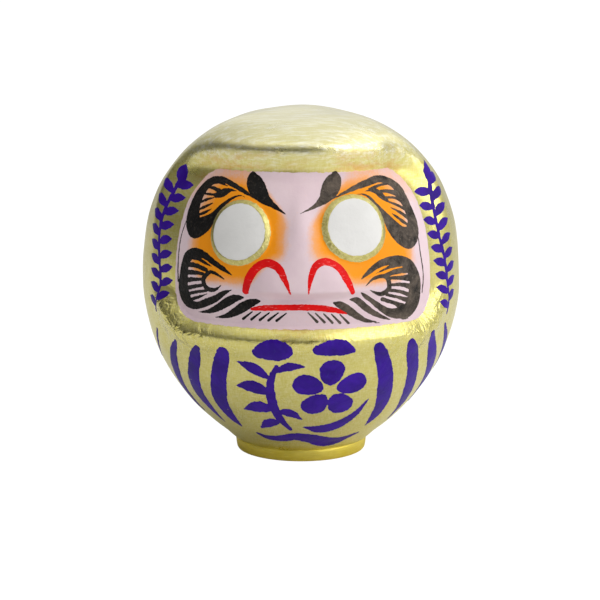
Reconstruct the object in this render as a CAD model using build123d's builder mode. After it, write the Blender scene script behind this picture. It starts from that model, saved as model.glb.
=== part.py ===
"""Daruma doll: a hollow papier-mache tumbler doll, about 24 cm tall, in millimetres.

The front faces -Y, +X is to the right of someone facing the doll, +Z is up, and the origin is the
middle of the face that the doll rests on.

The body is two thin paper shells, a front with the moulded face and a plain back. They meet edge to
edge in the plane Y = 0, and three strips of washi paper glued inside hold that seam. A clay weight
plugs the open bottom of the two shells, a paper hoop stands round it as the foot, and a paper disc
closes the foot underneath.
"""

import os
from math import cos, pi, radians, sin

from build123d import *

os.makedirs("parts", exist_ok=True)

# Driving dimensions of the body
HEIGHT = 240.0
RADIUS = 109.7
WIDEST_HEIGHT = 118.6
BELLY_DEPTH = 123.8
WALL = 2.6

# How square the outline is: one pair of exponents for the head and one for the belly
HEAD_POWERS = (2.58, 2.09)
BELLY_POWERS = (1.89, 1.71)

# Foot: hoop, clay weight and paper disc
FOOT_RADIUS = 46.0
FOOT_HEIGHT = 8.4
FOOT_WALL = 3.8
FOOT_TAPER = 1.2
FOOT_EDGE = 0.6
MOUTH_RADIUS = 28.0
WEIGHT_HEIGHT = 15.0
DISC_THICKNESS = 0.8
GLUE_GAP = 0.15

# Washi strips inside the seam
STRIP_WIDTH = 18.0
STRIP_THICKNESS = 0.5
CROWN_STRIP_START = 200.0
SIDE_STRIP_START = 18.0

# Face window: a rounded rectangle sunk evenly into the front
FACE_WIDTH = 170.0
FACE_BOTTOM = 107.0
FACE_TOP = 206.0
FACE_CORNER = 30.0
FACE_SINK = 8.0

# Brow ridge: a rounded roll over the window whose ends run into the temples (x, y, z of one half)
BROW_ROLL_RADIUS = 9.0
BROW_PATH = [(0, -70, 214), (40, -64, 212), (66, -48, 205), (84, -30, 190), (94, -10, 165)]

# Eyes: low round plateaus that stand off the sunk face
EYE_X = 36.5
EYE_HEIGHT = 166.5
EYE_RADII = (20.5, 22.0)
EYE_RISE = 3.2
EYE_TURN = 21.0
EYE_TILT = 14.0
EYE_TAPER = 35.0
EYE_EDGE = 1.5

# Nose: a wedge from between the eyes to its broad lower edge (height, half width, reach of its tip)
NOSE_SECTIONS = [(184, 6, 93.0), (160, 11, 102.0), (142, 26, 107.0), (129, 36, 107.5)]
NOSE_ROOT = 92.0


def outline_points(inset, count=7):
    """Points of the body's right outline, bottom to top, with the surface moved inwards by inset."""
    points = []
    for step in range(-count, count + 1):
        angle = radians(90 * step / count)
        power_up, power_out = HEAD_POWERS if step >= 0 else BELLY_POWERS
        reach = HEIGHT - WIDEST_HEIGHT if step >= 0 else -BELLY_DEPTH
        out = (RADIUS - inset) * abs(cos(angle)) ** (2 / power_out)
        up = (abs(reach) - inset) * abs(sin(angle)) ** (2 / power_up)
        points.append((out, WIDEST_HEIGHT + (up if step >= 0 else -up)))
    points[0] = (0, points[0][1])
    points[-1] = (0, points[-1][1])
    return points


def outline_face(inset):
    """The right half of the body's section, for a revolve; call it inside a BuildSketch."""
    right = outline_points(inset)
    left = [(-x, z) for x, z in reversed(right[1:-1])]
    with BuildSketch(mode=Mode.PRIVATE) as whole:
        with BuildLine():
            Spline(*right, *left, periodic=True)
        make_face()
        split(bisect_by=Plane.YZ, keep=Keep.TOP)
    return whole.sketch


def full_body(inset, hollow_inset=None):
    """The round body with its surface moved inwards by inset, hollowed to hollow_inset if given."""
    with BuildPart() as body:
        with BuildSketch(Plane.XZ):
            add(outline_face(inset))
            if hollow_inset is not None:
                add(outline_face(hollow_inset), mode=Mode.SUBTRACT)
        revolve(axis=Axis.Z)
    return body.part


def sunk_layer(depth, width_growth):
    """What lies in front of the sunk face: the window's prism outside the body inset by depth."""
    width = FACE_WIDTH + 2 * width_growth
    height = FACE_TOP - FACE_BOTTOM + 2 * width_growth
    middle = (FACE_TOP + FACE_BOTTOM) / 2
    with BuildPart() as layer:
        with BuildSketch(Plane.XZ.offset(20)):
            with Locations((0, middle)):
                RectangleRounded(width, height, FACE_CORNER + width_growth)
        extrude(amount=RADIUS)
        add(full_body(depth), mode=Mode.SUBTRACT)
    return layer.part


BODY = full_body(0)
CAVITY = full_body(WALL)
FRONT = Plane.XZ

# Hollow of the front shell: the cavity, kept back behind the sunk face
with BuildPart() as front_hollow:
    add(CAVITY)
    add(sunk_layer(FACE_SINK + WALL, WALL), mode=Mode.SUBTRACT)

# Front shell: outside first, then the window, the eyes and the nose, and last the hollow
with BuildPart() as front_shell:
    add(BODY)
    right_half = [Vector(*point) for point in BROW_PATH]
    left_half = [Vector(-x, y, z) for x, y, z in reversed(BROW_PATH[1:])]
    with BuildLine() as brow_line:
        Spline(*left_half, *right_half)
    with BuildSketch(Plane(brow_line.line @ 0, z_dir=brow_line.line % 0)):
        Circle(BROW_ROLL_RADIUS)
    sweep(path=brow_line.line)
    add(sunk_layer(FACE_SINK, 0), mode=Mode.SUBTRACT)
    for side in (-1, 1):
        turn = radians(EYE_TURN)
        tilt = radians(EYE_TILT)
        outward = Vector(side * sin(turn) * cos(tilt), -cos(turn) * cos(tilt), sin(tilt))
        middle = Vector(side * EYE_X, -RADIUS * 0.79, EYE_HEIGHT - 2.0)
        with BuildSketch(Plane(middle, x_dir=(cos(turn), side * sin(turn), 0), z_dir=outward)):
            Ellipse(EYE_RADII[0] + 3, EYE_RADII[1] + 3)
        plateau = extrude(amount=EYE_RISE + 6, taper=EYE_TAPER, mode=Mode.PRIVATE)
        rim = plateau.faces().sort_by(Axis(middle, outward))[-1].edges()
        add(plateau.fillet(EYE_EDGE, rim))
    for height, half_width, tip in NOSE_SECTIONS:
        with BuildSketch(Plane.XY.offset(height)):
            with BuildLine():
                ThreePointArc((-half_width, -NOSE_ROOT), (0, -tip), (half_width, -NOSE_ROOT))
                Line((half_width, -NOSE_ROOT), (-half_width, -NOSE_ROOT))
            make_face()
    loft()
    add(front_hollow.part, mode=Mode.SUBTRACT)
    Cylinder(MOUTH_RADIUS, 2 * WEIGHT_HEIGHT, mode=Mode.SUBTRACT)
    split(bisect_by=FRONT, keep=Keep.TOP)

front_shell.part.label = "front_shell"
export_step(front_shell.part, "parts/front_shell.step")

# Rear shell: plain round back
with BuildPart() as rear_shell:
    add(BODY)
    add(CAVITY, mode=Mode.SUBTRACT)
    Cylinder(MOUTH_RADIUS, 2 * WEIGHT_HEIGHT, mode=Mode.SUBTRACT)
    split(bisect_by=FRONT, keep=Keep.BOTTOM)

rear_shell.part.label = "rear_shell"
export_step(rear_shell.part, "parts/rear_shell.step")

# Washi strips: a thin lining of the cavity, cut to a band that bridges the seam
LINING = full_body(WALL, WALL + STRIP_THICKNESS)
STRIPS = {
    "seam_strip_crown": (-RADIUS, CROWN_STRIP_START, RADIUS, HEIGHT),
    "seam_strip_left": (-RADIUS, SIDE_STRIP_START, 0, CROWN_STRIP_START),
    "seam_strip_right": (0, SIDE_STRIP_START, RADIUS, CROWN_STRIP_START),
}
for name, (start_x, start_z, end_x, end_z) in STRIPS.items():
    with BuildPart() as seam_strip:
        add(LINING)
        with BuildSketch(FRONT):
            with Locations(((start_x + end_x) / 2, (start_z + end_z) / 2)):
                Rectangle(end_x - start_x, end_z - start_z)
        extrude(amount=STRIP_WIDTH / 2, both=True, mode=Mode.INTERSECT)
    seam_strip.part.label = name
    export_step(seam_strip.part, f"parts/{name}.step")

# Foot hoop: its inner top edge is bevelled to cradle the round bottom of the shells
with BuildPart() as foot_ring:
    with BuildSketch(Plane.XZ):
        with BuildLine():
            Polyline(
                (FOOT_RADIUS - FOOT_WALL, 0),
                (FOOT_RADIUS - FOOT_TAPER, 0),
                (FOOT_RADIUS, FOOT_HEIGHT),
                (FOOT_RADIUS - FOOT_WALL, FOOT_HEIGHT),
                close=True,
            )
        make_face()
    revolve(axis=Axis.Z)
    outer_rims = foot_ring.edges().filter_by(GeomType.CIRCLE).group_by(SortBy.RADIUS)[-1]
    fillet(outer_rims, FOOT_EDGE)
    add(full_body(-GLUE_GAP), mode=Mode.SUBTRACT)

foot_ring.part.label = "foot_ring"
export_step(foot_ring.part, "parts/foot_ring.step")

# Paper disc: closes the foot, flush with the hoop
with BuildPart() as base_paper:
    Cylinder(
        FOOT_RADIUS - FOOT_WALL - GLUE_GAP,
        DISC_THICKNESS,
        align=(Align.CENTER, Align.CENTER, Align.MIN),
    )

base_paper.part.label = "base_paper"
export_step(base_paper.part, "parts/base_paper.step")

# Clay weight: a puck inside the hoop, under the shells, with a plug up through their open bottom
with BuildPart() as base_weight:
    with BuildSketch(Plane.XY.offset(DISC_THICKNESS)):
        Circle(FOOT_RADIUS - FOOT_WALL - GLUE_GAP)
    extrude(amount=FOOT_HEIGHT - DISC_THICKNESS)
    add(full_body(-GLUE_GAP), mode=Mode.SUBTRACT)
    with BuildSketch(Plane.XY.offset(DISC_THICKNESS)):
        Circle(MOUTH_RADIUS - GLUE_GAP)
    extrude(amount=WEIGHT_HEIGHT - DISC_THICKNESS)
    plug_rim = base_weight.edges().filter_by(GeomType.CIRCLE).group_by(Axis.Z)[-1]
    fillet(plug_rim, 2.0)

base_weight.part.label = "base_weight"
export_step(base_weight.part, "parts/base_weight.step")
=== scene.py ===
"""A gold papier-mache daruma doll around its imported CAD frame.

The doll's skin is one formula, reach(azimuth, elevation): how far the surface is from the middle of
the body in each direction. Azimuth 0 is straight out of the face and grows towards +X, elevation 90
is the crown. Everything painted on the doll is drawn in those two angles, in degrees, so that it
always lies on the skin. Lengths are in millimetres until a mesh is made.
"""

import math
import random

import bpy
import numpy as np
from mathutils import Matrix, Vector


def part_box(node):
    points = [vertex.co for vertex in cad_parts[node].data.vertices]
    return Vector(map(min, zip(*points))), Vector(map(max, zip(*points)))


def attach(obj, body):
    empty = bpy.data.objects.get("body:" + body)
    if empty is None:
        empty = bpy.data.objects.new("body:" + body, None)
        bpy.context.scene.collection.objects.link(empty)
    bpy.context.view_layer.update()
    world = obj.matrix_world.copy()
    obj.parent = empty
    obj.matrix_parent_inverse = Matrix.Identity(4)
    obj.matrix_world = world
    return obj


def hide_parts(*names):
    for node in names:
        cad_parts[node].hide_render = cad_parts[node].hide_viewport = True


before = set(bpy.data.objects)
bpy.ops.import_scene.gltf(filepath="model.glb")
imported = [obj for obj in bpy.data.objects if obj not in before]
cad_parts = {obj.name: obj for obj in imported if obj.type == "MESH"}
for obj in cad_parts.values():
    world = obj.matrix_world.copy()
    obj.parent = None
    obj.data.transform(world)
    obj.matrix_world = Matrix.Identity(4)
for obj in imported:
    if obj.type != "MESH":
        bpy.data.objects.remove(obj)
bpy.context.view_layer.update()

MM = 0.001
SEED = 24

# ---------------------------------------------------------------- sizes
# Half width, height and foot come from the frame
SHELL_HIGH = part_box("rear_shell")[1]
RADIUS = SHELL_HIGH[0] / MM
HEIGHT = SHELL_HIGH[2] / MM
HOOP_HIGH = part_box("foot_ring")[1]
HOOP_RADIUS = HOOP_HIGH[0] / MM
HOOP_HEIGHT = HOOP_HIGH[2] / MM

# The round body is widest at this height, and below it would close BELLY_DEPTH further down. The
# powers are (up, out) of the superellipse above and below
WIDEST_HEIGHT = 118.6
BELLY_DEPTH = 123.8
HEAD_POWERS = (2.58, 2.09)
BELLY_POWERS = (1.89, 1.71)
WALL = 2.6

# Brow ridge: the line (azimuth / reach)^power + (elevation / reach)^power = 1. It stands out by
# RIDGE_HEIGHT, falls to the face within RIDGE_STEP degrees and fades over the crown
RIDGE_REACH = (68.0, 50.6)
RIDGE_POWER = 7.0
RIDGE_HEIGHT = 9.6
RIDGE_STEP = 2.3
RIDGE_CORNER = 0.85
CROWN_SPREAD = 22.0

# Face window: a rounded rectangle in degrees, sunk into the front, with a lip below it
WINDOW_MIDDLE = (1.2, 19.9)
WINDOW_HALF = (55.3, 26.6)
WINDOW_CORNER = 12.0
WINDOW_SINK = 7.0
LIP_RISE = 2.6

# Eyes: azimuth, elevation, radius of the white and of the gold ring round it
EYES = {"left": (-24.0, 25.8, 9.4, 11.3), "right": (20.9, 27.6, 9.5, 11.7)}
EYE_RISE = 2.6
EYE_CROWN = 0.9

# The relief fades out over these azimuths, just before the seam of the two shells at 90
RELIEF_END = (89, 80)


# ---------------------------------------------------------------- the moulded skin
def smooth(low, high, value):
    """0 below low, 1 above high, and a smooth step between."""
    part = np.clip((value - low) / (high - low), 0, 1)
    return part * part * (3 - 2 * part)


def hump(distance, width):
    """1 at no distance, falling to about a third at the width."""
    return np.exp(-((distance / width) ** 2))


def soft_start(value, softness):
    """The value itself above 0 and nothing below it, with a rounded corner between."""
    return softness * np.logaddexp(0, value / softness)


def round_body(elevation):
    """Reach of the plain round body, a superellipse of revolution, by Newton's method."""
    angle = np.radians(elevation)
    upper = elevation >= 0
    power_up = np.where(upper, HEAD_POWERS[0], BELLY_POWERS[0])
    power_out = np.where(upper, HEAD_POWERS[1], BELLY_POWERS[1])
    tall = np.where(upper, HEIGHT - WIDEST_HEIGHT, BELLY_DEPTH)
    reach_now = np.full_like(angle, RADIUS)
    for _ in range(12):
        out = (reach_now * np.abs(np.cos(angle)) / RADIUS) ** power_out
        up = (reach_now * np.abs(np.sin(angle)) / tall) ** power_up
        reach_now = reach_now - (out + up - 1) * reach_now / (power_out * out + power_up * up)
    return reach_now


def window_distance(azimuth, elevation):
    """Degrees outside the painted face window, negative inside it."""
    past_x = np.abs(azimuth - WINDOW_MIDDLE[0]) - WINDOW_HALF[0] + WINDOW_CORNER
    past_y = np.abs(elevation - WINDOW_MIDDLE[1]) - WINDOW_HALF[1] + WINDOW_CORNER
    outside = np.hypot(np.maximum(past_x, 0), np.maximum(past_y, 0))
    return outside + np.minimum(np.maximum(past_x, past_y), 0) - WINDOW_CORNER


def ridge_distance(azimuth, elevation):
    """Degrees above the brow ridge line, negative on the face side of it."""
    side = np.maximum(np.abs(azimuth) / RIDGE_REACH[0], 1e-6)
    up = np.maximum(elevation, 0) / RIDGE_REACH[1]
    total = side**RIDGE_POWER + up**RIDGE_POWER
    level = total ** (1 / RIDGE_POWER)
    slope = level / total
    slope_side = slope * side ** (RIDGE_POWER - 1) / RIDGE_REACH[0]
    slope_side = slope_side / np.maximum(np.cos(np.radians(elevation)), 0.2)
    slope_up = slope * up ** (RIDGE_POWER - 1) / RIDGE_REACH[1]
    return (level - 1) / np.hypot(slope_side, slope_up)


def eye_distance(azimuth, elevation, eye):
    """Degrees from an eye's middle."""
    across = (azimuth - eye[0]) * math.cos(math.radians(eye[1]))
    return np.hypot(across, elevation - eye[1])


def eye_relief(azimuth, elevation):
    """Two low plateaus whose slopes carry the gold rings."""
    total = 0
    for eye in EYES.values():
        distance = eye_distance(azimuth, elevation, eye)
        plateau = 1 - smooth(eye[2] - 0.3, eye[3] + 0.9, distance)
        total = total + EYE_RISE * plateau + EYE_CROWN * np.clip(1 - (distance / eye[2]) ** 2, 0, 1)
    return total


def nose_relief(azimuth, elevation):
    """Ridge between the eyes that widens to two round wings and ends in a ledge."""
    tip_width = 4.5 + 9.0 * smooth(34, 8, elevation)
    height = 7.6 * smooth(46, 11, elevation)
    bridge = height * hump(azimuth, tip_width)
    wings = 0
    for side in (-1, 1):
        wings = wings + 3.4 * hump(np.hypot(azimuth - side * 12.5, (elevation - 9.5) * 1.15), 7.5)
    ledge = smooth(3.2, 6.4, elevation)
    return (bridge + wings) * ledge


def cheek_relief(azimuth, elevation):
    """Full cheeks beside the nose, a lip over the mouth line and soft brows."""
    side = np.abs(azimuth)
    cheeks = 1.8 * hump(np.hypot((side - 30) * 0.55, elevation - 10), 9.0)
    cheeks = cheeks * smooth(2.6, 6.0, elevation)
    lip = 0.9 * hump(elevation - 0.6, 1.6) * smooth(27, 20, side)
    brows = 1.2 * hump(np.hypot((side - 34) * 0.5, elevation - 38), 6.5)
    return cheeks + lip + brows


def window_relief(azimuth, elevation):
    """The sunk window, whose edge climbs gently at the sides and steeply underneath."""
    side = np.abs(azimuth)
    outside = window_distance(azimuth, elevation)
    below = smooth(4, -6, elevation) * smooth(72, 50, side)
    slope = 6.5 - 2.0 * below + 7.5 * smooth(38, 62, side) * (1 - 0.6 * below)
    tucked = 0.6 + 2.2 * smooth(40, 45, elevation)
    along = np.clip((outside + tucked) / (slope + tucked), 0, 1)
    return -WINDOW_SINK * (1 - smooth(0, 1, along ** (1 - 0.4 * below)))


def ridge_relief(azimuth, elevation):
    """The brow ridge: full over the brow, gone at the temples, with a step down to the face."""
    above = ridge_distance(azimuth, elevation)
    here = RIDGE_HEIGHT * smooth(86, 52, np.abs(azimuth)) * smooth(14, 46, elevation)
    over_crown = hump(np.maximum(above, 0), CROWN_SPREAD) * smooth(87, 64, elevation)
    down = -above - 0.2
    dropped = soft_start(down, RIDGE_CORNER) - soft_start(down - RIDGE_STEP, RIDGE_CORNER)
    return here * over_crown * (1 - dropped / RIDGE_STEP)


def lip_relief(azimuth, elevation):
    """The lip of the shell under the face window."""
    crest = LIP_RISE * hump(window_distance(azimuth, elevation) - 6.5, 4.6)
    return crest * smooth(6, -4, elevation) * smooth(80, 50, np.abs(azimuth))


def relief(azimuth, elevation):
    """How far the moulded front stands off the round body, in millimetres."""
    inside = smooth(1.0, -2.5, window_distance(azimuth, elevation))
    rim = sum(part(azimuth, elevation) for part in (window_relief, ridge_relief, lip_relief))
    face = sum(part(azimuth, elevation) for part in (eye_relief, nose_relief, cheek_relief))
    return (rim + face * inside) * smooth(*RELIEF_END, np.abs(azimuth))


def hand_lumps(direction):
    """Slow unevenness of hand-laid paper, in millimetres, for an array of unit directions."""
    draw = random.Random(SEED)
    total = np.zeros(direction.shape[:-1])
    for _ in range(36):
        wave = np.array([draw.gauss(0, 1) for _ in range(3)])
        wave = wave / np.linalg.norm(wave) * draw.uniform(9, 34)
        size = 0.7 / np.linalg.norm(wave)
        total = total + size * np.sin(direction @ wave + draw.uniform(0, 6.3))
    return total * smooth(-0.97, -0.8, direction[..., 2])


def foot_flare(elevation):
    """The belly eases out to the top of the foot hoop, in millimetres."""
    return 1.5 * smooth(-61.5, -67, elevation)


def direction_of(azimuth, elevation):
    """Unit directions from the middle of the body."""
    turn = np.radians(azimuth)
    rise = np.radians(elevation)
    out = np.cos(rise)
    return np.stack([np.sin(turn) * out, -np.cos(turn) * out, np.sin(rise)], axis=-1)


def skin(azimuth, elevation, lift=0.0):
    """Points of the skin in metres, raised by lift millimetres."""
    azimuth = np.asarray(azimuth, float)
    elevation = np.asarray(elevation, float)
    direction = direction_of(azimuth, elevation)
    wrapped = (azimuth + 180) % 360 - 180
    reach = round_body(elevation) + relief(wrapped, elevation) + foot_flare(elevation) + lift
    reach = reach + hand_lumps(direction)
    points = direction * reach[..., None]
    points[..., 2] += WIDEST_HEIGHT
    return points * MM


def inner_skin(azimuth, elevation):
    """The inside of the paper wall: smooth, and kept back behind the sunk face."""
    azimuth = np.asarray(azimuth, float)
    direction = direction_of(azimuth, elevation)
    side = np.abs((azimuth + 180) % 360 - 180)
    outside = window_distance(side, elevation)
    sunk = (WINDOW_SINK + 0.8) * (1 - smooth(0, 16, outside)) * smooth(*RELIEF_END, side)
    reach = round_body(elevation) - WALL - sunk
    points = direction * reach[..., None]
    points[..., 2] += WIDEST_HEIGHT
    return points * MM


def skin_normals(azimuth, elevation):
    """Outward unit normals of the skin, from small steps in both angles."""
    step = 0.12
    across = skin(azimuth + step, elevation) - skin(azimuth - step, elevation)
    along = skin(azimuth, elevation + step) - skin(azimuth, elevation - step)
    normal = np.cross(across, along)
    length = np.linalg.norm(normal, axis=-1, keepdims=True)
    return normal / np.maximum(length, 1e-12)


# ---------------------------------------------------------------- mesh helpers
def new_object(name, vertices, faces, material, slot_name, normals=None):
    """A smooth-shaded piece that rides on the doll, with its vertex normals if they are given."""
    mesh = bpy.data.meshes.new(name)
    mesh.from_pydata([tuple(v) for v in vertices], [], faces)
    mesh.update()
    mesh.polygons.foreach_set("use_smooth", [True] * len(mesh.polygons))
    if normals is not None:
        mesh.normals_split_custom_set_from_vertices([tuple(n) for n in normals])
    piece = bpy.data.objects.new(name, mesh)
    bpy.context.collection.objects.link(piece)
    mesh.materials.append(material)
    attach(piece, "root")
    return piece


def add_value(piece, name, values):
    """A number on each vertex, for the material to read."""
    attribute = piece.data.attributes.new(name, "FLOAT", "POINT")
    attribute.data.foreach_set("value", np.asarray(values, np.float32).ravel())


def spaced(*stops):
    """Grid lines through (start, step), (start, step)... up to a last plain number."""
    lines = []
    for (start, step), following in zip(stops[:-1], stops[1:]):
        end = following[0] if isinstance(following, tuple) else following
        count = max(1, round((end - start) / step))
        lines.extend(start + (end - start) * i / count for i in range(count))
    lines.append(stops[-1])
    return np.array(lines)


def shell_half(name, azimuths, elevations, node, material):
    """One closed paper shell: outer skin, inner skin and the edges that join them."""
    columns = len(azimuths)
    rows = len(elevations)
    grid_az, grid_el = np.meshgrid(azimuths, elevations[:-1])
    crown = np.array([0.0]), np.array([90.0])
    outer = np.concatenate([skin(grid_az, grid_el).reshape(-1, 3), skin(*crown)])
    inner = np.concatenate([inner_skin(grid_az, grid_el).reshape(-1, 3), inner_skin(*crown)])
    top = len(outer) - 1
    below = len(outer)
    faces = []
    for row in range(rows - 2):
        for column in range(columns - 1):
            a = row * columns + column
            faces.append((a, a + 1, a + columns + 1, a + columns))
            faces.append((below + a, below + a + columns, below + a + columns + 1, below + a + 1))
    last = (rows - 2) * columns
    for column in range(columns - 1):
        faces.append((last + column, last + column + 1, top))
        faces.append((below + last + column, below + top, below + last + column + 1))
        faces.append((column, below + column, below + column + 1, column + 1))
    for column, flip in ((0, False), (columns - 1, True)):
        for row in range(rows - 1):
            a = row * columns + column
            b = a + columns if row < rows - 2 else top
            edge = (a, b, below + b, below + a)
            faces.append(edge[::-1] if flip else edge)
    normals = np.zeros((2 * len(outer), 3))
    normals[:top] = skin_normals(grid_az, grid_el).reshape(-1, 3)
    normals[top] = (0, 0, 1)
    piece = new_object(name, np.concatenate([outer, inner]), faces, material, "gold_skin", normals)
    sprayed = overspray(grid_az, grid_el).ravel()
    creased = creases(grid_az, grid_el).ravel()
    add_value(piece, "overspray", np.concatenate([sprayed, [0], 0 * sprayed, [0]]))
    add_value(piece, "creases", np.concatenate([creased, [0], 0 * creased, [0]]))
    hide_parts(node)


def foot_hoop(name, material):
    """The pasted paper hoop: a closed ring whose top lip closes on the belly, a little uneven."""
    profile = [(HOOP_RADIUS - inset, height) for inset, height in (
        (4.0, 0.0), (2.4, 0.0), (1.3, 0.25), (0.8, 1.0), (0.35, 3.2), (0.05, 5.6),
        (0.0, 7.2), (0.15, 8.1), (0.6, 8.8), (1.4, 9.1), (4.0, 7.0))]
    turns = 180
    vertices = []
    draw = random.Random(SEED + 2)
    waves = [(count, draw.uniform(0, 6.3), draw.uniform(0, 6.3)) for count in (2, 3, 5, 8, 13, 21)]
    for turn in range(turns):
        angle = 2 * math.pi * turn / turns
        out = sum(math.sin(count * angle + phase) for count, phase, _ in waves) / len(waves)
        tall = sum(math.sin(count * angle + phase) for count, _, phase in waves) / len(waves)
        for radius, height in profile:
            share = height / HOOP_HEIGHT
            radius_here = radius + 0.5 * out * share
            height_here = height + 0.5 * tall * share * share
            vertices.append((radius_here * math.cos(angle) * MM, radius_here * math.sin(angle) * MM,
                             height_here * MM))
    size = len(profile)
    faces = []
    for turn in range(turns):
        here = turn * size
        ahead = (turn + 1) % turns * size
        for k in range(size):
            up = (k + 1) % size
            faces.append((here + k, ahead + k, ahead + up, here + up))
    piece = new_object(name, vertices, faces, material, "foot_gold")
    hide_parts("foot_ring")


# ---------------------------------------------------------------- brush strokes
# A coat of paint thins out to EDGE_LIFT over its last EDGE_WIDTH degrees, and its underside lies
# COAT_ROOT below the skin (in millimetres)
EDGE_LIFT = 0.07
EDGE_WIDTH = 0.45
COAT_ROOT = 0.25


def smooth_line(points, steps=8):
    """A smooth line through (azimuth, elevation, width) points, in short straight steps."""
    points = np.array(points, float)
    gaps = np.sqrt(np.linalg.norm(np.diff(points[:, :2], axis=0), axis=1))
    knots = np.concatenate([[0], np.cumsum(gaps)])
    slopes = np.gradient(points, knots, axis=0)
    line = []
    for k, gap in enumerate(gaps):
        for t in np.arange(steps) / steps:
            start = (1 + 2 * t) * (1 - t) ** 2 * points[k] + t * (1 - t) ** 2 * gap * slopes[k]
            end = t * t * (3 - 2 * t) * points[k + 1] - t * t * (1 - t) * gap * slopes[k + 1]
            line.append(start + end)
    line.append(points[-1])
    return np.array(line)


def stroke_depth(azimuth, elevation, points):
    """Degrees inside a brush stroke, negative outside it."""
    squeeze = np.cos(np.radians(elevation))
    line = smooth_line(points)
    deepest = np.full(azimuth.shape, -9.0)
    for start, end in zip(line[:-1], line[1:]):
        run_x = (end[0] - start[0]) * squeeze
        run_y = end[1] - start[1]
        from_x = (azimuth - start[0]) * squeeze
        from_y = elevation - start[1]
        part = np.clip((from_x * run_x + from_y * run_y) / (run_x**2 + run_y**2 + 1e-9), 0, 1)
        half = (start[2] + part * (end[2] - start[2])) / 2
        deepest = np.maximum(deepest, half - np.hypot(from_x - part * run_x, from_y - part * run_y))
    return deepest


def wobble(azimuth, elevation, finest=1.2, coarsest=6.0):
    """Seeded unevenness of a painted edge, about -1 to 1, in waves of that many millimetres."""
    draw = random.Random(SEED + 1)
    direction = direction_of(azimuth, elevation)
    total = np.zeros(direction.shape[:-1])
    count = 14
    for _ in range(count):
        wave = np.array([draw.gauss(0, 1) for _ in range(3)])
        wave *= 2 * math.pi * RADIUS / (np.linalg.norm(wave) * draw.uniform(finest, coarsest))
        total = total + np.sin(direction @ wave + draw.uniform(0, 6.3))
    return total / math.sqrt(count)


def outline_mesh(columns, rows, depth):
    """Cuts the grid at depth = 0 into (azimuth, elevation, depth) points, faces and rim edges."""
    inside = depth > 0
    corner = np.full(depth.shape, -1)
    corner[inside] = np.arange(inside.sum())
    grid_az, grid_el = np.meshgrid(columns, rows)
    points = list(zip(grid_az[inside], grid_el[inside], depth[inside]))
    crossing = {}
    for down, right in ((0, 1), (1, 0)):
        tall = depth.shape[0] - down
        wide = depth.shape[1] - right
        near = depth[:tall, :wide]
        far = depth[down:, right:]
        for row, column in zip(*np.nonzero((near > 0) != (far > 0))):
            share = near[row, column] / (near[row, column] - far[row, column])
            share = min(max(share, 0.05), 0.95)
            crossing[row, column, down] = len(points)
            azimuth = columns[column] + share * (columns[column + right] - columns[column])
            elevation = rows[row] + share * (rows[row + down] - rows[row])
            points.append((azimuth, elevation, 0.0))
    held = inside[:-1, :-1].astype(int) + inside[:-1, 1:] + inside[1:, :-1] + inside[1:, 1:]
    faces = []
    for row, column in zip(*np.nonzero(held == 4)):
        faces.append((corner[row, column], corner[row, column + 1],
                      corner[row + 1, column + 1], corner[row + 1, column]))
    rim = []
    for row, column in zip(*np.nonzero((held > 0) & (held < 4))):
        corners = ((row, column), (row, column + 1), (row + 1, column + 1), (row + 1, column))
        sides = ((row, column, 0), (row, column + 1, 1), (row + 1, column, 0), (row, column, 1))
        loop = []
        for place, side in zip(corners, sides):
            if inside[place]:
                loop.append((int(corner[place]), False))
            if side in crossing:
                loop.append((crossing[side], True))
        faces.append(tuple(number for number, _ in loop))
        for here, following in zip(loop, loop[1:] + loop[:1]):
            if here[1] and following[1]:
                rim.append((here[0], following[0]))
    return np.array(points), faces, rim


def paint(name, depth_of, reach, layer, material, slot_name, step=0.3, ragged=0.08):
    """A thin closed coat of paint on the skin wherever depth_of is above 0.

    reach is (least azimuth, most azimuth, least elevation, most elevation), and layer is the height
    of its face above the skin in millimetres.
    """
    west, east, south, north = reach
    across = step / math.cos(math.radians((south + north) / 2))
    columns = np.arange(west, east + across, across)
    rows = np.arange(south, north + step, step)
    grid_az, grid_el = np.meshgrid(columns, rows)
    depth = depth_of(grid_az, grid_el) + ragged * wobble(grid_az, grid_el)
    depth[[0, -1], :] = -1
    depth[:, [0, -1]] = -1
    points, faces, rim = outline_mesh(columns, rows, depth)
    azimuth, elevation, deep = points.T
    count = len(points)
    rise = EDGE_LIFT + (layer - EDGE_LIFT) * smooth(0, EDGE_WIDTH, deep)
    top = skin(azimuth, elevation, rise)
    bottom = skin(azimuth, elevation, -COAT_ROOT)
    all_faces = list(faces)
    all_faces += [tuple(number + count for number in reversed(face)) for face in faces]
    all_faces += [(b, a, a + count, b + count) for a, b in rim]
    normals = np.zeros((2 * count, 3))
    normals[:count] = skin_normals(azimuth, elevation)
    vertices = np.concatenate([top, bottom])
    return new_object(name, vertices, all_faces, material, slot_name, normals), points


def brush(name, strokes, layer, material, slot_name, ragged=0.08, step=0.3):
    """Paints a piece made of brush strokes, each a list of (azimuth, elevation, width) points."""
    every = np.concatenate([smooth_line(stroke) for stroke in strokes])
    spare = every[:, 2].max() / 2 + 1
    wide = spare / math.cos(math.radians(np.abs(every[:, 1]).max()))
    reach = (every[:, 0].min() - wide, every[:, 0].max() + wide,
             every[:, 1].min() - spare, every[:, 1].max() + spare)

    def depth_of(azimuth, elevation):
        return np.max([stroke_depth(azimuth, elevation, stroke) for stroke in strokes], axis=0)

    paint(name, depth_of, reach, layer, material, slot_name, step, ragged)


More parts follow.
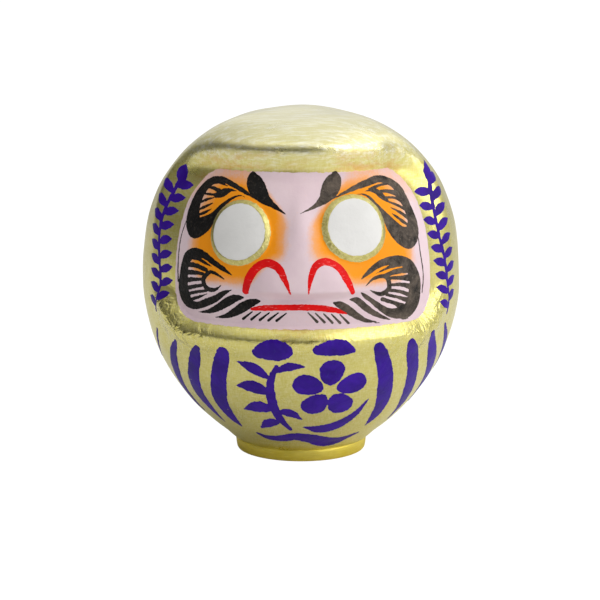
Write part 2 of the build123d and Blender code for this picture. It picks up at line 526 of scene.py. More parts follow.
# ---------------------------------------------------------------- where the airbrush went
def airbrush(azimuth, elevation):
    """Share of orange over the pink, all round the eyes and fading out over nose and cheeks."""
    side = np.abs(azimuth)
    nose = smooth(1.5, 10.0, np.abs(azimuth + 1))
    brow_line = (elevation - 31) - 0.93 * (side - 6)
    under_brow = 1 - smooth(-2, 4, brow_line)
    lowest = 8.5 + 8.5 * smooth(20, 9, side) + 5 * smooth(36, 50, side)
    over_cheek = smooth(lowest - 3, lowest + 3.5, elevation)
    temple = 1 - smooth(40, 50, side)
    forehead = 1 - 0.86 * smooth(39, 46.5, elevation)
    outer_brow = 1 - 0.62 * smooth(34, 44, side) * smooth(29, 37, elevation)
    corner = 0.24 * smooth(14, 30, side) * smooth(26, 42, elevation)
    return np.clip(nose * under_brow * over_cheek * temple * forehead * outer_brow + corner, 0, 1)


def overspray(azimuth, elevation):
    """Faint orange on the gold round the face, strongest above the brows and under the mouth."""
    outside = window_distance(azimuth, elevation)
    near = hump(np.maximum(outside, 0), 4.0)
    above = smooth(35, 46, elevation) * (0.35 + 0.65 * smooth(8, 26, np.abs(azimuth)))
    under = smooth(0, -6, elevation) * hump(azimuth - 1, 9)
    return near * np.clip(above + under, 0, 1)


def creases(azimuth, elevation):
    """Where the foil is crinkled: on the lip under the face, its ends, and along the brow ridge."""
    outside = window_distance(azimuth, elevation)
    side = np.abs(azimuth)
    lip = hump(outside - 6, 6) * smooth(10, -6, elevation) * (0.3 + 0.7 * smooth(22, 52, side))
    ridge = 0.15 * hump(ridge_distance(azimuth, elevation), 2.2) * smooth(20, 46, elevation)
    return np.clip(lip + ridge, 0, 1) * smooth(88, 70, side)


# ---------------------------------------------------------------- the painted shapes
# A stroke is (azimuth, elevation, width) from end to end, in degrees. One degree is about 2 mm.
BROWS = {"left": [
    [(-23, 45, 4), (-21, 43, 6), (-18.5, 40.5, 5.8), (-15.5, 38, 4), (-11, 35.5, 2),
     (-5.5, 32.5, 0.4)],
    [(-20, 38, 0.5), (-25, 40, 1.7), (-31, 42, 2), (-37, 43.5, 2.4), (-42, 43.5, 3.2),
     (-46, 42, 4.4), (-48.5, 38.5, 5.2), (-49, 33.5, 5.8), (-48, 28.5, 7.2), (-45.5, 26, 7.6),
     (-41, 27.5, 6.4), (-37, 30.5, 3.8), (-33.5, 34.5, 2.2), (-29.5, 37.5, 1.2),
     (-26, 38.5, 0.6), (-23, 37.5, 0.3)],
    [(-28.5, 40, 0.4), (-32, 40, 1.6), (-35, 39, 3.5), (-38, 38, 2.6)],
    [(-45.5, 42, 1.3), (-40, 42.5, 1.2), (-34, 41.5, 0.6)],
    [(-47, 40, 1.2), (-43, 40.5, 1.4), (-37.5, 39.5, 1.9)],
    [(-47.5, 38, 0.9), (-42.5, 38, 1.2), (-37, 38, 1.3)],
    [(-47.5, 34.5, 1), (-43, 36, 1.4), (-39, 37, 0.6)],
    [(-47, 32, 0.9), (-43, 33.5, 1.4), (-39, 35, 0.6)],
    [(-46, 30.5, 0.9), (-42.5, 31.5, 1.4), (-39, 33, 0.6)],
], "right": [
    [(16, 45, 4.4), (14, 43, 6.2), (12, 40.5, 5.6), (9.5, 38, 3.6), (5.5, 35.5, 1.6),
     (-0.5, 32.5, 0.4)],
    [(13, 38, 0.4), (17.5, 39.5, 1.2), (24, 41.5, 2), (31, 43, 2.8), (37.5, 44, 3), (43, 43, 3.6),
     (47, 40, 4.6), (48, 36, 4.8), (49, 32, 4.6), (49.5, 28, 5.2), (48, 24, 7), (45, 22.5, 8),
     (41, 24, 7), (38, 27, 5.6), (35, 31, 3.2), (32.5, 34, 2), (29, 38, 1.3), (26.5, 39, 0.8),
     (24, 39, 0.3)],
    [(28, 40, 0.3), (31, 40, 1.2), (34, 39.5, 2.6), (36, 37.5, 2.6), (38, 36, 1.6)],
    [(41.5, 42, 1.3), (36, 41.5, 1.2), (31, 40.5, 1.2)],
    [(45, 38, 2.6), (40.5, 39, 1.9), (36.5, 39.5, 1.3)],
    [(47, 35, 2.2), (43, 36.5, 1.3), (38, 37, 1.2)],
    [(48, 32, 1.7), (43, 34, 1.3), (38.5, 35.5, 1)],
    [(48.5, 28.5, 1.9), (44.5, 31, 1.6), (39, 33.5, 0.6)],
    [(47, 26.5, 1.3), (43, 29, 1.6), (39, 31.5, 0.6)],
]}
BEARDS = {"left": [
    [(-25, 11, 0.3), (-29, 13, 1.9), (-33.5, 15, 2.3), (-38, 17, 2.8), (-43, 17.5, 3.8),
     (-47, 15.5, 4.8), (-48.5, 12, 4.8), (-49, 8, 5.4), (-49.5, 4, 6.2), (-48, 0.5, 5.6),
     (-45, -1.5, 3.8), (-41.5, -1.5, 3), (-37.5, 0, 3.2), (-33, 2, 2.9), (-29, 4.5, 2),
     (-25.5, 6, 0.4)],
    [(-46, 15.5, 1.4), (-41, 15.5, 1.6), (-37.5, 14.5, 1.4), (-34, 13.5, 0.4)],
    [(-47.5, 13, 2.2), (-41.5, 13, 2), (-36.5, 12, 1.8)],
    [(-48, 10, 2.4), (-42.5, 10.5, 1.9), (-38, 10.5, 1.4)],
    [(-48, 7, 2.4), (-43, 8, 1.8), (-38.5, 8.5, 1.3)],
    [(-48, 4, 1.9), (-42.5, 5.5, 1.7), (-38, 6.5, 1.4)],
    [(-47, 2, 1.6), (-42, 3.5, 1.5), (-37, 4.5, 1.3)],
    [(-46, 0, 1.4), (-41.5, 1.5, 1.5), (-36.5, 3.5, 0.4)],
    [(-28.5, 9.5, 0.6), (-30.5, 10.5, 1.1), (-34.5, 11.5, 1.6), (-38, 8.5, 2.3), (-36.5, 5.5, 2.4),
     (-32.5, 5.5, 1.5), (-29.5, 7.5, 0.3)],
    [(-41.5, -4, 0.3), (-36, -3, 1.9), (-31.5, -1, 3), (-27.5, 1.5, 3.6), (-24.5, 3, 3),
     (-21.5, 3.5, 1.2)],
    [(-33.5, -5, 0.3), (-28.5, -4, 2), (-24.5, -2, 3.4), (-20.5, 0.5, 3.9), (-17.5, 2, 3),
     (-15, 2.5, 1)],
    [(-51.5, 29, 0.6), (-53, 22, 0.8), (-53, 14, 0.9), (-52.5, 6, 1.2)],
], "right": [
    [(21, 9.5, 0.3), (24.5, 12, 1.8), (29, 14.5, 2.6), (34, 15.5, 3.2), (39.5, 15, 3.8),
     (44, 12.5, 5), (46.5, 8.5, 6), (47, 4, 7.2), (46, -0.5, 7.4), (43, -3.5, 6.2), (39, -4, 4.8),
     (35, -3.5, 3.6), (31, -1.5, 2.8), (27, 1.5, 2.2), (23.5, 4, 1.6), (21.5, 5.5, 0.3)],
    [(39, 14, 2.5), (34.5, 13.5, 1.6), (27.5, 11.5, 0.4)],
    [(42, 11.5, 2.6), (37, 11.5, 2.2), (31.5, 10.5, 1.8)],
    [(44, 8.5, 3), (39, 9, 1.8), (33.5, 9.5, 1.4)],
    [(45, 5, 2.8), (39.5, 6.5, 1.7), (33.5, 7, 1.4)],
    [(43, 2.5, 2), (39, 4, 1.6), (34, 5, 1.5)],
    [(42.5, 0.5, 2.2), (38, 2, 1.5), (33, 3.5, 1.5)],
    [(40.5, -2, 3), (36.5, 0, 1.8), (31, 2, 1.8)],
    [(23.5, 7.5, 0.6), (27, 10, 1.4), (32, 10, 1.9), (33.5, 6, 2.4), (30.5, 4, 2.1), (25, 6, 0.3)],
    [(18, 3, 1), (20.5, 2.5, 2.6), (23.5, 0, 2.9), (27, -2.5, 2.4), (31, -4.5, 1.7),
     (36, -6.5, 0.4)],
    [(12, 2, 1.2), (14.5, 1, 3), (17.5, -1, 3.2), (21, -3.5, 2.6), (25, -5.5, 1.7),
     (30, -6.5, 0.4)],
    [(51, 24, 0.6), (51, 17, 0.9), (52, 8, 1), (51.5, 2, 0.9)],
]}
NOSTRILS = {
    "left": [(-20, 6, 2.8), (-18.5, 10.5, 3.5), (-15.5, 14.5, 3.4), (-12, 16, 3.2), (-8, 14.5, 3),
             (-5.5, 10.5, 2.2), (-3.5, 5.5, 0.5)],
    "right": [(2.5, 5.5, 0.4), (3, 10, 1.8), (5, 15, 2.6), (8.5, 16.5, 2.8), (13, 14.5, 2.8),
              (16, 10, 2.9), (18.5, 5.5, 1.8)],
}
MOUTH = [(-18, -0.5, 1.4), (-14, 0, 2.3), (-5, 0.5, 2.4), (4, 0.5, 2.5), (11.5, -0.5, 2.4),
         (16.5, -2, 1)]
CHIN_TICKS = {
    "left": [[(start, -1.6, 0.8), (start - 3.6, -4.5, 1.3)]
             for start in (-18, -14.8, -11.5, -8.3, -5.3)],
    "right": [[(start, -1.2 - start / 12, 0.8), (start + 3.3, -4.6 - start / 12, 1.3)]
              for start in (2.5, 5.2, 8.1, 11, 14.2)],
}
SHOULDER_STRIPES = {"left": [
    [(-66, -13.5, 1), (-70, -18.5, 1.8), (-78, -26.5, 0.6)],
    [(-51.5, -15, 1.2), (-56.5, -20, 3.8), (-60.5, -26, 5), (-64, -32, 5.6), (-66.5, -38, 5.8),
     (-66, -43.5, 4), (-64.5, -49.5, 0.5)],
    [(-40, -16, 2.6), (-43, -20, 4.8), (-46.5, -25.5, 5.4), (-49.5, -31, 6), (-51.5, -37, 6),
     (-51, -43, 4.4), (-50, -48, 2.4), (-48.5, -52.5, 0.5)],
    [(-28.5, -16, 4.4), (-30.5, -20, 5.8), (-33.5, -26, 6.2), (-36, -32, 6.6), (-38.5, -38.5, 6.4),
     (-38.5, -44, 5.2), (-37.5, -49.5, 3), (-36, -52.5, 0.8)],
], "right": [
    [(28, -14, 3.8), (31, -19, 5.4), (34.5, -26, 6.2), (37.5, -33.5, 6.6), (40.5, -41, 6),
     (41, -47, 4.4), (40, -53, 0.6)],
    [(42, -14, 3.2), (45, -18.5, 5.4), (49, -25, 5.8), (52.5, -32, 6), (56, -38.5, 5.8),
     (59.5, -45, 4.4), (61.5, -50, 2.4), (62.5, -53.5, 0.5)],
    [(54, -12.5, 2.4), (57, -17, 4.6), (62, -23.5, 6), (67.5, -30, 6.4), (72, -36.5, 5.8),
     (75.5, -43, 3.2), (77, -47, 0.6)],
    [(65.5, -11.5, 1.2), (69, -15.5, 3), (74.5, -20.5, 4.4), (79, -27, 4.2), (82, -33, 1)],
]}
BELLY_DABS = [
    [(-15, -15, 4.2), (-11.5, -14, 7.4), (-8, -14, 7.8), (-5, -14, 4.6)],
    [(6, -13.5, 3.8), (10, -13, 5.6), (14, -13, 5.6), (18, -14, 2.2)],
]
BELLY_WAVE = [(-28, -56, 1), (-23, -58.5, 3), (-14, -59, 4.4), (-4, -57, 5), (6, -58.5, 6),
              (17, -61.5, 6.4), (28, -61.5, 4.4), (40, -58, 0.8)]
BELLY_BRANCH = [
    [(-6, -52, 1.4), (-10.5, -45, 3), (-12.5, -36, 3.4), (-12, -28, 2.8), (-9, -20.5, 1.4)],
    [(-12, -26, 1), (-17.5, -22, 4.6), (-24, -19.5, 0.5)],
    [(-12.5, -33, 1), (-19, -30, 5.6), (-26.5, -30, 0.5)],
    [(-12, -40.5, 1), (-18.5, -39.5, 5.6), (-27, -41.5, 0.5)],
    [(-10, -47, 1), (-15.5, -48, 4.4), (-22.5, -52, 0.5)],
    [(-9.5, -23, 0.8), (-4.5, -20.5, 3.6), (1.5, -20.5, 0.4)],
    [(-11.5, -42, 0.8), (-6, -42, 4), (0.5, -46, 0.4)],
    [(1.5, -50.5, 0.5), (10, -52, 4.4), (19, -50, 5), (27, -44, 3), (30.5, -37, 0.5)],
]
BLOSSOM = (11.5, -31, 12.5)


def petals(azimuth, elevation, radius, count=5):
    """Round brush dabs in a ring, each fatter away from the middle."""
    squeeze = math.cos(math.radians(elevation))
    dabs = []
    for k in range(count):
        turn = math.radians(90 + 360 * k / count)
        dabs.append([(azimuth + share * radius * math.cos(turn) / squeeze,
                      elevation + share * radius * math.sin(turn), width * radius)
                     for share, width in ((0.24, 0.1), (0.5, 0.56), (0.7, 0.72))])
    return dabs


def leafy_twig(azimuth, lowest, highest, pairs=9):
    """A long wavy stem with pairs of pointed leaves along it and one leaf at its tip."""
    def stem_at(elevation):
        return azimuth + 1.3 * math.sin((elevation - lowest) / 6.5)

    stem = [(stem_at(elevation), elevation, 1.1) for elevation in np.linspace(lowest, highest, 13)]
    tip = stem_at(highest)
    strokes = [stem, [(tip, highest - 1, 1.0), (tip + 0.4, highest + 1.5, 3.0),
                      (tip + 1.5, highest + 4.5, 0.3)]]
    gap = (highest - lowest - 2) / pairs
    for k in range(pairs):
        for side, later in ((-1, 0.2), (1, 0.7)):
            foot = lowest + 1 + (k + later) * gap
            squeeze = math.cos(math.radians(foot))
            middle = stem_at(foot)
            strokes.append([(middle, foot, 0.8), (middle + side * 2.6 / squeeze, foot + 1.6, 3.0),
                            (middle + side * 5.6 / squeeze, foot + 2.6, 0.3)])
    return strokes


# Azimuth, lowest and highest elevation of the leafy twig down each side of the face
SIDE_TWIGS = {"left": (-63, -6, 40), "right": (64.5, -7, 40)}


# ---------------------------------------------------------------- materials
class Nodes:
    """Short ways to add nodes to a node tree. A value is a number or another node's output."""

    def __init__(self, tree):
        self.tree = tree

    def new(self, kind):
        return self.tree.nodes.new(f"ShaderNode{kind}")

    def put(self, target, value):
        if isinstance(value, bpy.types.NodeSocket):
            self.tree.links.new(value, target)
        elif value is not None:
            target.default_value = value

    def math(self, operation, first, second=None):
        node = self.new("Math")
        node.operation = operation
        self.put(node.inputs[0], first)
        self.put(node.inputs[1], second)
        return node.outputs[0]

    def span(self, source, low, high, to_low=0.0, to_high=1.0, kind="LINEAR"):
        """Carries low to high over to to_low to to_high, and stops there."""
        node = self.new("MapRange")
        node.interpolation_type = kind
        limits = {"From Min": low, "From Max": high, "To Min": to_low, "To Max": to_high}
        for key, amount in limits.items():
            node.inputs[key].default_value = amount
        self.put(node.inputs["Value"], source)
        return node.outputs[0]


class Recipe(Nodes):
    """A material with one glossy shader."""

    def __init__(self, name):
        self.material = bpy.data.materials.new(name)
        self.material.use_nodes = True
        super().__init__(self.material.node_tree)
        self.shader = self.tree.nodes["Principled BSDF"]
        self.where = self.new("TexCoord").outputs["Object"]

    def set(self, **values):
        for key, value in values.items():
            self.put(self.shader.inputs[key.replace("_", " ")], value)

    def stretched(self, scale, turn=(0, 0, 0)):
        node = self.new("Mapping")
        self.put(node.inputs["Vector"], self.where)
        node.inputs["Rotation"].default_value = turn
        node.inputs["Scale"].default_value = scale
        return node.outputs[0]

    def noise(self, scale, detail=3.0, rough=0.55, vector=None, distortion=0.0):
        node = self.new("TexNoise")
        self.put(node.inputs["Vector"], vector or self.where)
        node.inputs["Scale"].default_value = scale
        node.inputs["Detail"].default_value = detail
        node.inputs["Roughness"].default_value = rough
        node.inputs["Distortion"].default_value = distortion
        return node.outputs["Fac"]

    def spots(self, scale):
        node = self.new("TexVoronoi")
        self.put(node.inputs["Vector"], self.where)
        node.inputs["Scale"].default_value = scale
        return node.outputs["Distance"]

    def height(self):
        node = self.new("SeparateXYZ")
        self.put(node.inputs[0], self.where)
        return node.outputs["Z"]

    def value(self, name):
        """A number that the mesh holds on each vertex."""
        node = self.new("Attribute")
        node.attribute_name = name
        return node.outputs["Fac"]

    def mix(self, factor, first, second):
        node = self.new("Mix")
        node.data_type = "RGBA"
        self.put(node.inputs["Factor"], factor)
        for key, color in (("A", first), ("B", second)):
            self.put(node.inputs[key], (*color, 1) if isinstance(color, tuple) else color)
        return node.outputs["Result"]

    def bump(self, *layers):
        """Each layer is (height, distance in metres, strength), from the coarsest to the finest."""
        normal = None
        for height, distance, strength in layers:
            node = self.new("Bump")
            node.inputs["Distance"].default_value = distance
            self.put(node.inputs["Strength"], strength)
            self.put(node.inputs["Height"], height)
            self.put(node.inputs["Normal"], normal)
            normal = node.outputs[0]
        self.put(self.shader.inputs["Normal"], normal)


def gold_material():
    """Gold foil paint over paper: soft metal with fibres, crinkles and faint orange overspray."""
    gold = Recipe("gold_skin")
    fibre_one = gold.noise(1, 4, 0.6, gold.stretched((260, 260, 1500), (0.5, 0.3, 0.9)), 0.6)
    fibre_two = gold.noise(1, 4, 0.6, gold.stretched((1500, 300, 260), (0.2, 0.8, 0.4)), 0.6)
    fibres = gold.math("MULTIPLY", fibre_one, fibre_two)
    blotch = gold.noise(42, 3, 0.6, distortion=0.5)
    crinkle = gold.noise(64, 3, 0.5, distortion=1.0)
    folds = gold.math("ABSOLUTE", gold.math("SUBTRACT", crinkle, 0.5))
    creased = gold.value("creases")
    color = gold.mix(gold.span(blotch, 0.35, 0.7), (0.62, 0.55, 0.125), (0.70, 0.62, 0.165))
    color = gold.mix(gold.span(fibres, 0.16, 0.42), color, (0.78, 0.72, 0.34))
    # Paler gold towards the crown: a painted reflection of the bright light above
    color = gold.mix(gold.span(gold.height(), 0.205, 0.238, 0, 0.8), color, (0.80, 0.765, 0.51))
    brushed = gold.noise(1, 5, 0.7, gold.stretched((70, 420, 420), (0, 0, 0.3)))
    on_crown = gold.span(gold.height(), 0.202, 0.218)
    brushed = gold.math("MULTIPLY", gold.span(brushed, 0.46, 0.66), on_crown)
    color = gold.mix(brushed, color, (0.90, 0.88, 0.70))
    stains = gold.noise(1, 4, 0.7, gold.stretched((60, 60, 160), (0, 0.25, 0)))
    stained = gold.span(stains, 0.46, 0.66, 0.08, 0.62)
    stained = gold.math("MULTIPLY", gold.value("overspray"), stained)
    color = gold.mix(stained, color, (0.66, 0.27, 0.05))
    gold.set(Base_Color=color, Metallic=1.0)
    rough = gold.span(blotch, 0.3, 0.7, 0.29, 0.38)
    flecks = gold.noise(420, 2, 0.5)
    rough = gold.math("ADD", rough, gold.span(flecks, 0.45, 0.72, -0.03, 0.05))
    gold.set(Roughness=gold.math("ADD", rough, gold.math("MULTIPLY", creased, -0.10)))
    gold.set(Coat_Weight=0.25, Coat_Roughness=0.35)
    dents = gold.noise(30, 2, 0.5)
    gold.bump((dents, 0.0050, 0.2), (folds, 0.0044, gold.span(creased, 0, 1, 0.03, 1.0)),
              (fibres, 0.0005, 0.2))
    return gold.material


def foot_material():
    """Yellower, flatter gold brushed round the hoop."""
    foot = Recipe("foot_gold")
    brushed = foot.noise(1, 4, 0.6, foot.stretched((120, 120, 1100)))
    blotch = foot.noise(55, 3, 0.6)
    color = foot.mix(foot.span(blotch, 0.3, 0.7), (0.76, 0.62, 0.085), (0.86, 0.72, 0.15))
    foot.set(Base_Color=color, Metallic=1.0, Roughness=foot.span(brushed, 0.3, 0.7, 0.42, 0.55))
    foot.bump((brushed, 0.0006, 0.5))
    return foot.material


def pink_material():
    """Matt powdered-shell pink with orange airbrushed round the eyes."""
    pink = Recipe("pink_paint")
    cloud = pink.noise(38, 3, 0.6)
    base = pink.mix(pink.span(cloud, 0.3, 0.7), (0.72, 0.55, 0.60), (0.80, 0.64, 0.67))
    grain = pink.noise(900, 2, 0.6)
    spatter = pink.span(pink.noise(150, 4, 0.7), 0.3, 0.7, -0.07, 0.07)
    edge = pink.math("ADD", pink.value("airbrush"), spatter)
    edge = pink.math("ADD", edge, pink.span(grain, 0.3, 0.7, -0.05, 0.05))
    sprayed = pink.mix(pink.span(edge, 0.35, 0.95), (0.86, 0.42, 0.20), (0.93, 0.31, 0.003))
    color = pink.mix(pink.span(edge, 0.06, 0.5), base, sprayed)
    rough = pink.span(cloud, 0.3, 0.7, 0.5, 0.62)
    pink.set(Base_Color=color, Roughness=rough, Specular_IOR_Level=0.2)
    brushed = pink.noise(1, 3, 0.6, pink.stretched((500, 500, 140)))
    lumps = pink.noise(90, 3, 0.55)
    pink.bump((lumps, 0.0010, 0.25), (brushed, 0.0003, 0.35), (grain, 0.0001, 0.4))
    return pink.material


def white_material():
    """Slightly warm matt white of the unpainted eyes, a little cloudy."""
    white = Recipe("white_paint")
    cloud = white.noise(60, 3, 0.6)
    color = white.mix(white.span(cloud, 0.3, 0.7), (0.72, 0.71, 0.685), (0.78, 0.77, 0.745))
    white.set(Base_Color=color, Roughness=0.6, Specular_IOR_Level=0.2)
    white.bump((white.noise(110, 3, 0.6), 0.0012, 0.3), (white.noise(700, 2, 0.6), 0.0002, 0.4))
    return white.material


def black_material(name, lighter_share):
    """Nearly black gouache, greyed in patches by drier paint and by a painted sheen of side light.
    """
    black = Recipe(name)
    patches = black.noise(95, 5, 0.65, distortion=0.8)
    grain = black.noise(520, 3, 0.7)
    # Greyer patches and grain: drier paint, and on the right-hand copy also a painted sheen of the
    # key light
    thin_and_sheen = black.span(patches, 0.36, 0.68, 0.1 * lighter_share, lighter_share)
    color = black.mix(thin_and_sheen, (0.002, 0.002, 0.002), (0.135, 0.105, 0.082))
    color = black.mix(black.span(grain, 0.55, 0.8, 0, 0.25 + 0.5 * lighter_share), color, (0.20, 0.16, 0.125))
    black.set(Base_Color=color, Roughness=black.span(patches, 0.3, 0.75, 0.36, 0.55))
    black.set(Specular_IOR_Level=0.15)
    black.bump((patches, 0.0014, 0.6), (grain, 0.0006, 0.8))
    return black.material


def red_material():
    """Bright red with dry-brush streaks where the brush turned."""
    red = Recipe("red_paint")
    streaks = red.noise(1, 4, 0.6, red.stretched((260, 260, 900), (0, 0.6, 0)))
    lighter_share = red.span(streaks, 0.60, 0.72, 0, 0.6)
    cloud = red.span(red.noise(90, 2, 0.5), 0.3, 0.7)
    color = red.mix(cloud, (0.66, 0.002, 0.003), (0.86, 0.006, 0.006))
    color = red.mix(lighter_share, color, (0.86, 0.30, 0.28))
    red.set(Base_Color=color, Roughness=0.42, Specular_IOR_Level=0.12)
    red.bump((streaks, 0.0006, 0.5))
    return red.material


def indigo_material():
    """Blue-violet brush paint with cloudy depth and a few pinholes of gold."""
    ink = Recipe("indigo_paint")
    cloud = ink.noise(70, 4, 0.6, distortion=0.6)
    streaks = ink.noise(1, 4, 0.6, ink.stretched((700, 700, 90)))
    color = ink.mix(ink.span(cloud, 0.35, 0.7), (0.024, 0.001, 0.20), (0.046, 0.006, 0.34))
    color = ink.mix(ink.span(streaks, 0.58, 0.8, 0, 0.5), color, (0.035, 0.045, 0.22))
    holes = ink.span(ink.spots(150), 0.02, 0.06, 1, 0)
    rare = ink.span(ink.noise(55, 2, 0.5), 0.58, 0.6)
    holes = ink.math("MULTIPLY", holes, rare)
    ink.set(Base_Color=ink.mix(holes, color, (0.70, 0.62, 0.28)), Metallic=holes)
    ink.set(Roughness=ink.span(cloud, 0.3, 0.7, 0.38, 0.52), Specular_IOR_Level=0.15)
    ink.bump((cloud, 0.0008, 0.35), (streaks, 0.0003, 0.5))
    return ink.material


def ring_material():
    """Flat gold paint brushed round the eyes."""
    ring = Recipe("gold_paint")
    strokes = ring.noise(240, 4, 0.7, distortion=1.5)
    color = ring.mix(ring.span(strokes, 0.35, 0.7), (0.48, 0.42, 0.12), (0.74, 0.68, 0.30))
    ring.set(Base_Color=color, Metallic=0.95, Roughness=ring.span(strokes, 0.3, 0.7, 0.30, 0.46))
    ring.bump((strokes, 0.0010, 0.6))
    return ring.material


def paper_material(name, dark, light, fibre=1):
    """Raw paper or clay for the pieces inside and underneath."""
    paper = Recipe(name)
    lay = paper.stretched((700 * fibre, 160 * fibre, 400 * fibre), (0.3, 0.2, 0.5))
    fibres = paper.noise(1, 4, 0.6, lay)
    cloud = paper.noise(80, 3, 0.6)
    shade = paper.math("MULTIPLY", fibres, cloud)
    paper.set(Base_Color=paper.mix(paper.span(shade, 0.15, 0.4), dark, light), Roughness=0.85)
    paper.bump((cloud, 0.0010, 0.3), (fibres, 0.0004, 0.5))
    return paper.material


# ---------------------------------------------------------------- stage, light and camera
# Walls of the light tent: direction, cosines of the angles from it where the wall starts and is
# full, and brightness. Between them the room is ROOM bright
ROOM = 0.07
TENT = {
    "roof": ((0.0, 0.35, 0.9), 0.35, 0.85, 0.56),
    "front top": ((-0.25, -0.55, 0.8), 0.72, 0.96, 0.54),
    "right": ((0.95, 0.1, 0.3), 0.35, 0.85, 0.68),
    "back": ((0.0, 1.0, 0.1), 0.78, 0.99, 0.5),
    "left": ((-0.95, -0.2, 0.25), 0.80, 0.99, 0.12),
}
# What the camera itself sees of the room and the floor is white
CAMERA_ROOM = 1.05
FLOOR_GLOW = 1.1
FLOOR_GLOW_SHARE = 0.93
FLOOR_WHITE = 0.87
FLOOR_HALF = 6.0
FLOOR_DROP = 0.0004


def area_light(name, place, target, size, power):
    data = bpy.data.lights.new(name, "AREA")
    data.energy = power
    data.size = size
    light = bpy.data.objects.new(name, data)
    bpy.context.collection.objects.link(light)
    light.location = place
    light.rotation_euler = (Vector(target) - Vector(place)).to_track_quat("-Z", "Y").to_euler()


def build_stage():
    """A white floor: bright to the camera, and an ordinary lit white to the doll above it."""
    mesh = bpy.data.meshes.new("floor")
    corners = [(FLOOR_HALF * x, FLOOR_HALF * y, 0) for x, y in ((-1, -1), (1, -1), (1, 1), (-1, 1))]
    mesh.from_pydata(corners, [], [(0, 1, 2, 3)])
    floor = bpy.data.objects.new("floor", mesh)
    bpy.context.collection.objects.link(floor)
    floor.location.z = -FLOOR_DROP
    look = Recipe("floor_white")
    look.set(Base_Color=(*[FLOOR_WHITE] * 3, 1), Roughness=1.0, Specular_IOR_Level=0.0)
    glow = look.new("Emission")
    glow.inputs["Strength"].default_value = FLOOR_GLOW
    path = look.new("LightPath")
    mix = look.new("MixShader")
    share = look.math("MULTIPLY", path.outputs["Is Camera Ray"], FLOOR_GLOW_SHARE)
    for number, source in enumerate((share, look.shader.outputs[0], glow.outputs[0])):
        look.put(mix.inputs[number], source)
    look.put(look.tree.nodes["Material Output"].inputs["Surface"], mix.outputs[0])
    mesh.materials.append(look.material)


def build_camera():
    """A long lens a little above the doll, straight in front of it."""
    distance = 1.4
    elevation = math.radians(11)
    target = Vector((-0.0007, 0, 0.1045))
    data = bpy.data.cameras.new("camera")
    data.sensor_width = 36
    data.lens = 120.2
    camera = bpy.data.objects.new("camera", data)
    bpy.context.collection.objects.link(camera)
    camera.location = target + distance * Vector((0, -math.cos(elevation), math.sin(elevation)))
    camera.rotation_euler = (target - camera.location).to_track_quat("-Z", "Y").to_euler()
    bpy.context.scene.camera = camera


def build_light():
    """A light tent, bright but for its left wall and the low front, and two area lights."""
    world = bpy.data.worlds.new("studio")
    bpy.context.scene.world = world
    world.use_nodes = True
    room = Nodes(world.node_tree)
    way = room.new("TexCoord").outputs["Generated"]
    total = ROOM
    for direction, low, high, strength in TENT.values():
        facing = room.new("VectorMath")
        facing.operation = "DOT_PRODUCT"
        facing.inputs[1].default_value = Vector(direction).normalized()
        room.put(facing.inputs[0], way)
        wall = room.span(facing.outputs["Value"], low, high, 0, strength, "SMOOTHSTEP")
        total = room.math("ADD", wall, total)
    mix = room.new("Mix")
    mix.data_type = "FLOAT"
    room.put(mix.inputs["Factor"], room.new("LightPath").outputs["Is Camera Ray"])
    room.put(mix.inputs["A"], total)
    mix.inputs["B"].default_value = CAMERA_ROOM
    background = room.tree.nodes["Background"]
    background.inputs["Color"].default_value = (1, 1, 1, 1)
    room.put(background.inputs["Strength"], mix.outputs["Result"])
    area_light("key_right", (1.0, -0.75, 0.8), (0, 0, 0.12), 1.4, 11)
    area_light("overhead", (0.2, 0.3, 1.3), (0, 0, 0.1), 1.4, 2)


# ---------------------------------------------------------------- build
bpy.context.scene.view_settings.view_transform = "Standard"
build_stage()
build_camera()
build_light()

gold = gold_material()
pink = pink_material()
white = white_material()
ring_gold = ring_material()
# The right-hand copy is greyer: partly drier paint, partly a painted sheen of the light from the
# right
black = {
    "left": black_material("black_paint_left", 0.06),
    "right": black_material("black_paint_right", 1.0),
}
red = red_material()
indigo = indigo_material()

# The shells' open mouth is down at this elevation. The grid is finest on the lip and the brow ridge
MOUTH_ELEVATION = -76.6
ROWS = spaced((MOUTH_ELEVATION, 2.0), (-12.0, 0.5), (-9.0, 0.25), (-4.0, 0.5), (38.0, 0.34),
              (55.0, 0.6), (60.0, 1.5), 90.0)
FRONT_COLUMNS = spaced((-90.0, 1.5), (-60.0, 0.68), (60.0, 1.5), 90.0)
REAR_COLUMNS = spaced((90.0, 1.5), 270.0)
shell_half("front_skin", FRONT_COLUMNS, ROWS, "front_shell", gold)
shell_half("rear_skin", REAR_COLUMNS, ROWS, "rear_shell", gold)
foot_hoop("foot_hoop", foot_material())

# Heights of the coats of paint above the skin, in millimetres. Indigo is given as height, material
# and slot, and the raggedness of its edge is in degrees
PINK_COAT = 0.15
INDIGO = (0.25, indigo, "indigo_paint")
INDIGO_EDGE = 0.12
WHITE_COAT = 0.30
BLACK_COAT = 0.36
RED_COAT = 0.42
RING_COAT = 0.85

panel, panel_points = paint(
    "face_pink", lambda az, el: 0.5 - window_distance(az, el), (-60, 63, -9, 49),
    PINK_COAT, pink, "pink_paint", step=0.5, ragged=0.12)
sprayed_share = airbrush(panel_points[:, 0], panel_points[:, 1])
add_value(panel, "airbrush", np.concatenate([sprayed_share, sprayed_share]))

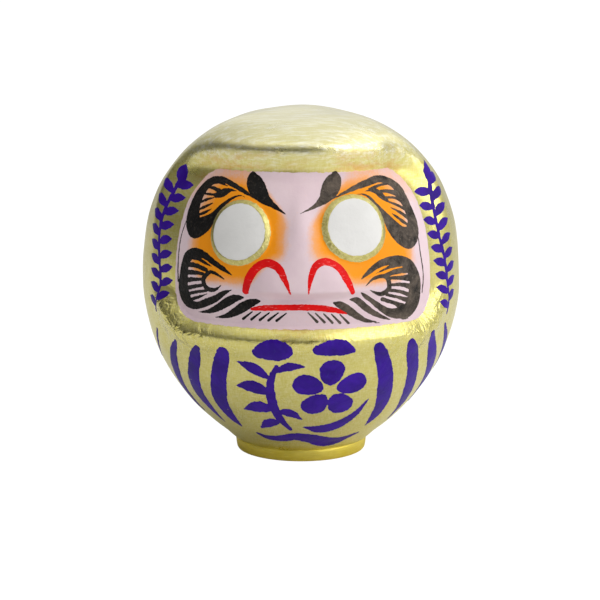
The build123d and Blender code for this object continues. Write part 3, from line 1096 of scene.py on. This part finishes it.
for side, eye in EYES.items():
    middle_az, middle_el, white_radius, ring_radius = eye
    span = ring_radius + 2
    reach = (middle_az - span * 1.2, middle_az + span * 1.2, middle_el - span, middle_el + span)
    paint(f"eye_white_{side}", lambda az, el: white_radius + 0.3 - eye_distance(az, el, eye), reach,
          WHITE_COAT, white, "white_paint", step=0.4, ragged=0)
    middle = (white_radius + ring_radius) / 2
    half = (ring_radius - white_radius) / 2
    paint(f"eye_ring_{side}", lambda az, el: half - np.abs(eye_distance(az, el, eye) - middle),
          reach, RING_COAT, ring_gold, "gold_paint", ragged=0.1)
    for name, strokes in (("brow", BROWS[side]), ("beard", BEARDS[side])):
        brush(f"{name}_{side}", strokes, BLACK_COAT, black[side], "black_paint", 0.06, 0.22)
    brush(f"nostril_{side}", [NOSTRILS[side]], RED_COAT, red, "red_paint", 0.05, 0.22)
    brush(f"chin_ticks_{side}", CHIN_TICKS[side], BLACK_COAT, black[side], "black_paint", 0.03, 0.2)
    brush(f"belly_stripes_{side}", SHOULDER_STRIPES[side], *INDIGO, INDIGO_EDGE)
    brush(f"side_twig_{side}", leafy_twig(*SIDE_TWIGS[side]), *INDIGO, 0.08, 0.25)
brush("mouth", [MOUTH], RED_COAT, red, "red_paint", 0.06, 0.22)
brush("belly_dabs", BELLY_DABS, *INDIGO, 0.14)
brush("belly_branch", BELLY_BRANCH, *INDIGO, INDIGO_EDGE)
brush("belly_blossom", petals(*BLOSSOM), *INDIGO, INDIGO_EDGE)
brush("belly_wave", [BELLY_WAVE], *INDIGO, INDIGO_EDGE)

washi = paper_material("washi", (0.62, 0.58, 0.48), (0.80, 0.77, 0.68))
NODE_LOOKS = {
    "base_paper": paper_material("base_paper", (0.42, 0.36, 0.26), (0.58, 0.51, 0.38)),
    "base_weight": paper_material("clay", (0.30, 0.19, 0.12), (0.42, 0.29, 0.20), 0.3),
    **{f"seam_strip_{place}": washi for place in ("crown", "left", "right")},
}
for node_name, material in NODE_LOOKS.items():
    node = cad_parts[node_name]
    node.data.materials.clear()
    node.data.materials.append(material)
